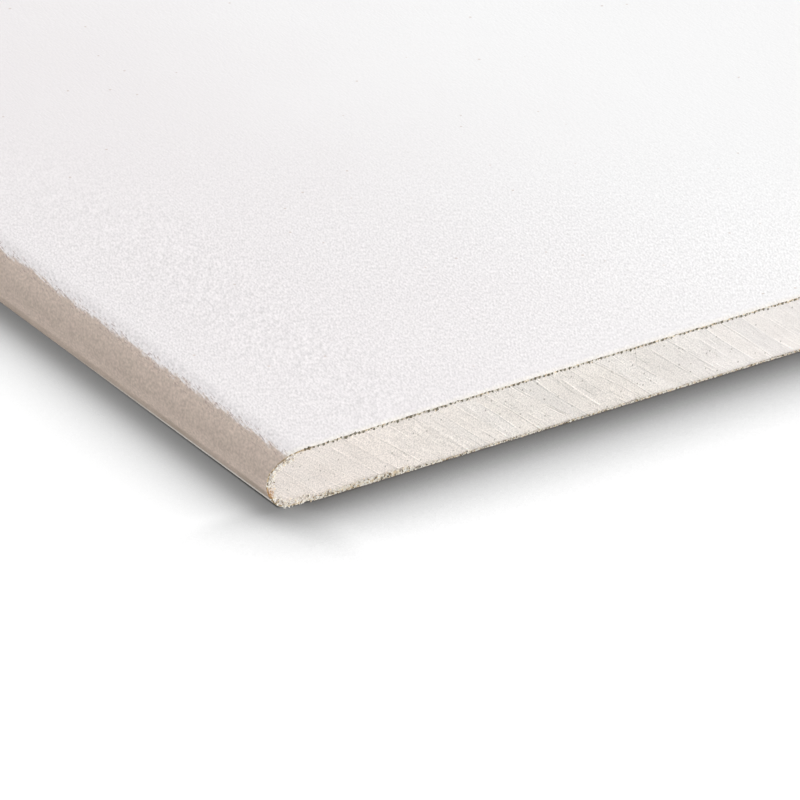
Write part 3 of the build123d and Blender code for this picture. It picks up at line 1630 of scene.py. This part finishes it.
@dataclass
class Scattering:
    """The geometry nodes that turn the faces of a cut into shreds."""

    torn: TornEdge
    sizes: SheetSizes
    end: End
    calm_past_margin: float = 12.0 * MM
    torn_before_margin: float = 2.0 * MM
    under_face: float = 0.9 * MM
    nose_depth: float = 9.0 * MM
    nose_from: float = 13.0 * MM
    nose_to: float = 5.0 * MM
    reach_power: float = 1.6
    hang_lap: float = 2.0 * MM
    small_from: float = 80.0 * MM
    grown_from: float = 20.0 * MM
    nodes: Nodes = field(init=False)
    place: Signal = field(init=False)
    height: Signal = field(init=False)
    from_edge: Signal = field(init=False)
    near_edge: Signal = field(init=False)
    chance: Signal = field(init=False)

    def __post_init__(self) -> None:
        """Starts the node tree and reads where each shred is."""
        tree = bpy.data.node_groups.new(self.torn.name, "GeometryNodeTree")
        for in_out in ("INPUT", "OUTPUT"):
            tree.interface.new_socket(name="Geometry", in_out=in_out, socket_type="NodeSocketGeometry")
        self.nodes = Nodes(tree)
        self.place = self.nodes.get("GeometryNodeInputPosition")
        x, _, self.height = self.nodes.parts(self.place)
        self.from_edge = self.sizes.half_width - abs(x)
        self.near_edge = self._near_long_edge()
        self.chance = self._chance(Draw.REACH)

    def group(self) -> bpy.types.NodeTree:
        """Makes the node group.

        Returns:
            The group, which takes the faces and gives the shreds.
        """
        nodes, torn, sizes = self.nodes, self.torn, self.sizes
        x, _, z = nodes.parts(nodes.vector("ADD", self.place, self._smear()))
        outermost = sizes.half_length + torn.proud
        sunk = self._chance(Draw.SINK) * (-self.end.value * (torn.proud + torn.deepest))
        at = nodes.joined(x, sunk + self.end.value * outermost, z)
        points = self._points(nodes.get("NodeGroupInput"))
        smeared = nodes.get("GeometryNodeSetPosition", {"Geometry": points, "Position": at})
        shred = {
            "Points": smeared,
            "Instance": nodes.get(
                "GeometryNodeMeshUVSphere", {"Segments": 4, "Rings": 2, "Radius": torn.size}
            ),
            "Rotation": self._random(-1.0, 1.0, Draw.TURN, (torn.tilt, math.pi, torn.tilt)),
            "Scale": self._size(),
        }
        placed = nodes.get("GeometryNodeInstanceOnPoints", shred)
        real = nodes.get("GeometryNodeRealizeInstances", {"Geometry": placed})
        high = (sizes.half_width - TOUCH, outermost, sizes.thickness + torn.above - TOUCH)
        low = (-high[0], -high[1], TOUCH)
        kept = nodes.vector("MAXIMUM", nodes.vector("MINIMUM", self.place, high), low)
        inside = nodes.get("GeometryNodeSetPosition", {"Geometry": real, "Position": kept})
        nodes.add("NodeGroupOutput", {0: inside})
        return nodes.tree

    def _near_long_edge(self) -> Signal:
        """Finds the rounding and the turned margin, where the cut is most torn.

        Returns:
            Their mask.
        """
        margin = self.sizes.turned_margin_width
        calm, torn = margin + self.calm_past_margin, margin - self.torn_before_margin
        outer = self.nodes.ramp(self.from_edge, Ramp(calm, torn))
        return outer * self.height.below(self.sizes.thickness - self.under_face)

    def _points(self, cut: Signal) -> Signal:
        """Scatters points, evenly spaced where the shreds have a least distance.

        Args:
            cut: the faces of the cut.

        Returns:
            The points.
        """
        torn, seed = self.torn, self._seed(Draw.POINTS)
        density = torn.density / MM**2
        if torn.apart == 0.0:
            torn_density = self.near_edge * (torn.edge_extra * density) + density
            scatter = {"Mesh": cut, "Density": torn_density, "Seed": seed}
            return self.nodes.get("GeometryNodeDistributePointsOnFaces", scatter)
        on_nose = self.from_edge.below(self.sizes.nose_face_reach)
        turned = self.height.below(0.5 * self.sizes.thickness)
        share = on_nose.at_least(turned) * (torn.nose_share - 1.0) + 1.0
        scatter = {
            "Mesh": cut,
            "Distance Min": torn.apart,
            "Density Max": density,
            "Density Factor": share,
            "Seed": seed,
        }
        return self.nodes.get(
            "GeometryNodeDistributePointsOnFaces", scatter, distribute_method="POISSON"
        )

    def _smear(self) -> Signal:
        """Moves the shreds at random from the paper towards the middle of the cut.

        Returns:
            The moves.
        """
        nodes, torn, sizes = self.nodes, self.torn, self.sizes
        middle_x, middle_z = sizes.half_width - self.nose_depth, 0.5 * sizes.thickness
        any_y = 2 * sizes.half_length
        middle = nodes.vector("MAXIMUM", self.place, (-middle_x, -any_y, middle_z))
        middle = nodes.vector("MINIMUM", middle, (middle_x, any_y, middle_z))
        inwards = nodes.vector("NORMALIZE", nodes.vector("SUBTRACT", middle, self.place))
        nose = Ramp(self.nose_from, self.nose_to, last=torn.nose_extra)
        furthest = self.near_edge * (torn.edge_reach - torn.reach) + torn.reach
        furthest = furthest + self.near_edge * nodes.ramp(self.from_edge, nose)
        distance = self.chance**self.reach_power * furthest + self.near_edge * torn.least
        stir = self._random(-torn.scatter, torn.scatter, Draw.STIR)
        move = nodes.vector("ADD", nodes.scaled(inwards, distance), stir)
        return nodes.vector("ADD", move, self._hang())

    def _hang(self) -> Signal:
        """Lets the lowest shreds hang down to the floor.

        Returns:
            Their moves.
        """
        low = self.height.below(3 * self.sizes.liner)
        uncovered = self.sizes.half_width - self.sizes.back_half_width + self.hang_lap
        down = (1.0 - self.chance) * -self.torn.droop
        return self.nodes.joined(z=down * (low * self.from_edge.below(uncovered)))

    def _size(self) -> Signal:
        """Draws a size for each shred, flat, and larger towards the long edges.

        Returns:
            The sizes.
        """
        torn = self.torn
        size = self._random(torn.smallest, torn.largest, Draw.SIZE, (1.0, torn.flatness, 1.0))
        growth = Ramp(self.small_from, self.grown_from, 1.0, 1.0 + torn.corner_growth)
        return self.nodes.scaled(size, self.nodes.ramp(self.from_edge, growth))

    def _seed(self, draw: Draw) -> int:
        """Returns the seed of a draw at this end."""
        return self.torn.seed + draw.value + (self.end is End.FAR)

    def _chance(self, draw: Draw) -> Signal:
        """Returns a random number from 0 to 1 for each shred."""
        inputs = {8: self._seed(draw)}
        return self.nodes.get("FunctionNodeRandomValue", inputs, output=1, data_type="FLOAT")

    def _random(self, low: float, high: float, draw: Draw, scale: Place = (1.0, 1.0, 1.0)) -> Signal:
        """Draws a random vector for each shred.

        Args:
            low: the lowest value along each axis.
            high: the highest value.
            draw: what it is for.
            scale: what it is multiplied by along each axis.

        Returns:
            The vector.
        """
        limits = {0: (low,) * 3, 1: (high,) * 3, 8: self._seed(draw)}
        value = self.nodes.get("FunctionNodeRandomValue", limits, data_type="FLOAT_VECTOR")
        return self.nodes.vector("MULTIPLY", value, scale)


@dataclass(frozen=True)
class Lamp:
    """A distant lamp. Its level is what it adds to a surface that faces it."""

    name: str
    azimuth: float
    elevation: float
    level: float
    spread: float

    def hang(self) -> None:
        """Adds the lamp, shining from its azimuth and elevation."""
        data = bpy.data.lights.new(self.name, "SUN")
        data.energy = self.level * math.pi
        data.angle = math.radians(self.spread)
        lamp = bpy.data.objects.new(self.name, data)
        bpy.context.scene.collection.objects.link(lamp)
        towards = direction(self.azimuth, self.elevation)
        lamp.rotation_euler = towards.to_track_quat("Z", "Y").to_euler()


@dataclass(frozen=True)
class Glow:
    """How bright a shaded floor looks: gain times openness to a power, plus a base and a lift."""

    gain: float
    steepness: float
    base: float
    lift: float = 0.0
    lift_steepness: float = 1.0

    def at(self, openness: Signal) -> Signal:
        """Works out the brightness.

        Args:
            openness: from 0, closed, to 1, open.

        Returns:
            The brightness.
        """
        glow = openness**self.steepness * self.gain + self.base
        if self.lift > 0.0:
            glow = openness**self.lift_steepness * self.lift + glow
        return glow


@dataclass(frozen=True)
class FloorFinish:
    """A floor that the camera sees as white, apart from a soft shadow painted round the sheet by an
    emission that follows ambient occlusion.
    """

    sizes: SheetSizes
    before_end: Glow = Glow(1.21, 5.0, 0.05)
    before_nose: Glow = Glow(0.83, 7.4, 0.235, lift=0.13, lift_steepness=24.0)
    off_corner: Glow = Glow(0.79, 4.6, 0.23, lift=0.1, lift_steepness=40.0)
    beside_edge: Glow = Glow(0.97, 3.05, 0.2)
    shade_reach: float = 60.0 * MM
    by_nose: Ramp = Ramp(11.0 * MM, 4.0 * MM)
    past_edge: Ramp = Ramp(3.5 * MM, -4.0 * MM)
    beside: Ramp = Ramp(-0.5 * MM, 6.0 * MM)
    crease: Ramp = Ramp(3.2 * MM, 3.6 * MM)
    crease_under: Ramp = Ramp(0.5 * MM, 2.5 * MM)
    crease_depth: Ramp = Ramp(95.0 * MM, 0.0, 0.08, 0.85)
    contact: Ramp = Ramp(-0.85 * MM, -0.25 * MM, last=0.38)
    contact_starts: float = 12.0 * MM
    seen_share: float = 0.85
    floor_white: Colour = (0.95, 0.95, 0.95)

    def material(self) -> bpy.types.Material:
        """Makes the material.

        Returns:
            The floor's material, which bounces light as plain white does.
        """
        material = bpy.data.materials.new("pale_floor")
        material.use_nodes = True
        nodes = Nodes(material.node_tree)
        nodes.tree.nodes.clear()
        spot = Spot.on(self.sizes, nodes)
        # painted shadow: the camera sees mostly an emission, dimmed round the sheet by ambient occlusion
        # and a painted contact line
        brightness = self._glow(nodes, spot) * (1.0 - self._contact(nodes, spot))
        seen = nodes.get("ShaderNodeEmission", {"Color": solid((1.0, 1.0, 1.0)), "Strength": brightness})
        lit = nodes.get("ShaderNodeBsdfDiffuse", {"Color": solid(self.floor_white)})
        share = nodes.get("ShaderNodeLightPath", output="Is Camera Ray") * self.seen_share
        surface = nodes.get("ShaderNodeMixShader", {0: share, 1: lit, 2: seen})
        nodes.add("ShaderNodeOutputMaterial", {"Surface": surface})
        return material

    def _glow(self, nodes: Nodes, spot: Spot) -> Signal:
        """Paints the floor's shadow: brightens the floor by its openness, in its own way on each side of
        the corner.

        Args:
            nodes: the material's nodes.
            spot: where on the sheet it is read.

        Returns:
            The brightness.
        """
        shade = {"Distance": self.shade_reach}
        openness = nodes.get("ShaderNodeAmbientOcclusion", shade, output="AO", samples=16)
        by_nose = nodes.ramp(spot.from_edge, self.by_nose)
        past_edge = nodes.ramp(spot.from_edge, self.past_edge)
        beside = nodes.ramp(spot.from_end, self.beside)
        glow = nodes.mix(by_nose, self.before_end.at(openness), self.before_nose.at(openness))
        glow = nodes.mix(past_edge, glow, self.off_corner.at(openness))
        return nodes.mix(beside, glow, self.beside_edge.at(openness))

    def _contact(self, nodes: Nodes, spot: Spot) -> Signal:
        """Paints a darker contact shadow on the floor right beside the sheet, under the rounding and the
        end.

        Args:
            nodes: the material's nodes.
            spot: where on the sheet it is read.

        Returns:
            How dark it is, from 0 to 1.
        """
        deep = nodes.ramp(spot.from_end, self.crease_depth)
        under = nodes.ramp(spot.from_end, self.crease_under)
        crease = nodes.ramp(spot.from_edge, self.crease) * (under * deep)
        close = nodes.ramp(spot.from_end, self.contact)
        return crease.at_least(close * spot.from_edge.above(self.contact_starts))


@dataclass
class Studio:
    """Pale floor, soft lamps and the camera at the photograph's angle."""

    sizes: SheetSizes
    camera_azimuth: float = -33.32
    camera_elevation: float = 27.29
    camera_distance: float = 1334.4 * MM
    corner_left_of_axis: float = 26.15 * MM
    corner_below_axis: float = 22.68 * MM
    lens_in_frames: float = 6789.2 / 800.0
    floor_size: float = 80.0
    floor_drop: float = 0.02 * MM
    ambient: float = 0.12
    lamps: tuple[Lamp, ...] = (
        Lamp("key", azimuth=45.0, elevation=55.0, level=0.93, spread=60.0),
        Lamp("end_card", azimuth=118.0, elevation=6.0, level=0.97, spread=10.0),
        Lamp("edge_card", azimuth=-100.0, elevation=8.0, level=0.36, spread=25.0),
    )

    def set_up(self) -> None:
        """Adds everything and sets the colour view."""
        bpy.context.scene.view_settings.view_transform = "Standard"
        self._add_camera()
        self._add_floor()
        self._light_world()
        for lamp in self.lamps:
            lamp.hang()

    def _add_camera(self) -> None:
        """Places the camera about the sheet's near left corner."""
        turn = math.radians(self.camera_azimuth)
        back = direction(180.0 - self.camera_azimuth, self.camera_elevation)
        right = Vector((math.cos(turn), math.sin(turn), 0.0))
        up = back.cross(right)
        corner = Vector((-self.sizes.half_width, -self.sizes.half_length, 0.0))
        data = bpy.data.cameras.new("camera")
        data.lens = data.sensor_width * self.lens_in_frames
        camera = bpy.data.objects.new("camera", data)
        bpy.context.scene.collection.objects.link(camera)
        aside = right * self.corner_left_of_axis + up * self.corner_below_axis
        camera.location = corner + back * self.camera_distance + aside
        camera.rotation_euler = back.to_track_quat("Z", "Y").to_euler()
        bpy.context.scene.camera = camera

    def _add_floor(self) -> None:
        """Adds the floor."""
        floor = add_plane("floor", self.floor_size, self.floor_size, -self.floor_drop)
        floor.data.materials.append(FloorFinish(self.sizes).material())

    def _light_world(self) -> None:
        """Sets a weak even light that the camera sees as white."""
        world = bpy.data.worlds.new("studio_air")
        bpy.context.scene.world = world
        world.use_nodes = True
        nodes = Nodes(world.node_tree)
        camera_ray = nodes.get("ShaderNodeLightPath", output="Is Camera Ray")
        seen = camera_ray.at_least(nodes.get("ShaderNodeLightPath", output="Is Glossy Ray"))
        strength = seen * (1.0 - self.ambient) + self.ambient
        background = world.node_tree.nodes["Background"]
        background.inputs["Color"].default_value = solid((1.0, 1.0, 1.0))
        nodes.tree.links.new(strength.socket, background.inputs["Strength"])


FACE_CRUMBS = TornEdge(
    "face_liner_crumbs",
    Slot.FACE,
    density=3.0,
    edge_extra=9.0,
    size=0.21 * MM,
    least=0.25 * MM,
    edge_reach=0.5 * MM,
    proud=0.06 * MM,
    droop=0.42 * MM,
    nose_extra=0.9 * MM,
)
# painted shade: dark flakes along the face paper's cut edge, for the shade in its torn notches
FACE_NOTCH_SHADE = TornEdge(
    "face_liner_notch_shade",
    Slot.FACE,
    density=40.0,
    apart=0.95 * MM,
    nose_share=0.03,
    size=0.33 * MM,
    smallest=0.6,
    corner_growth=0.22,
    above=0.18 * MM,
    reach=-0.24 * MM,
    edge_reach=0.12 * MM,
)
BACK_CRUMBS = TornEdge(
    "back_liner_crumbs",
    Slot.BACK,
    density=12.0,
    edge_extra=1.0,
    size=0.21 * MM,
    proud=0.12 * MM,
    deepest=0.0,
)
# painted shade: dark flakes along the back paper's cut edge, for the shade in its torn notches
BACK_NOTCH_SHADE = TornEdge(
    "back_liner_notch_shade",
    Slot.BACK,
    density=40.0,
    apart=0.95 * MM,
    size=0.18 * MM,
    scatter=0.08 * MM,
    proud=0.3 * MM,
    deepest=-0.1 * MM,
    reach=0.02 * MM,
    edge_reach=0.02 * MM,
)


def main() -> None:
    """Builds the sheet's pieces and the studio."""
    logging.basicConfig(level=logging.INFO, format="%(name)s: %(message)s")
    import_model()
    sizes = SheetSizes.from_frame()
    finishes = Finishes(sizes)
    GypsumCore(sizes, finishes.gypsum, finishes.gypsum).build()
    face_paper = FacePaper(sizes, finishes.face, finishes.face_cut).build()
    back_paper = BackPaper(sizes, finishes.back, finishes.back_cut).build()
    for end in End:
        FACE_CRUMBS.grow(sizes, face_paper, end, finishes.crumbs)
        FACE_NOTCH_SHADE.grow(sizes, face_paper, end, finishes.notch_shade)
        BACK_CRUMBS.grow(sizes, back_paper, end, finishes.crumbs)
        BACK_NOTCH_SHADE.grow(sizes, back_paper, end, finishes.notch_shade)
    Studio(sizes).set_up()


if __name__ == "__main__":
    main()
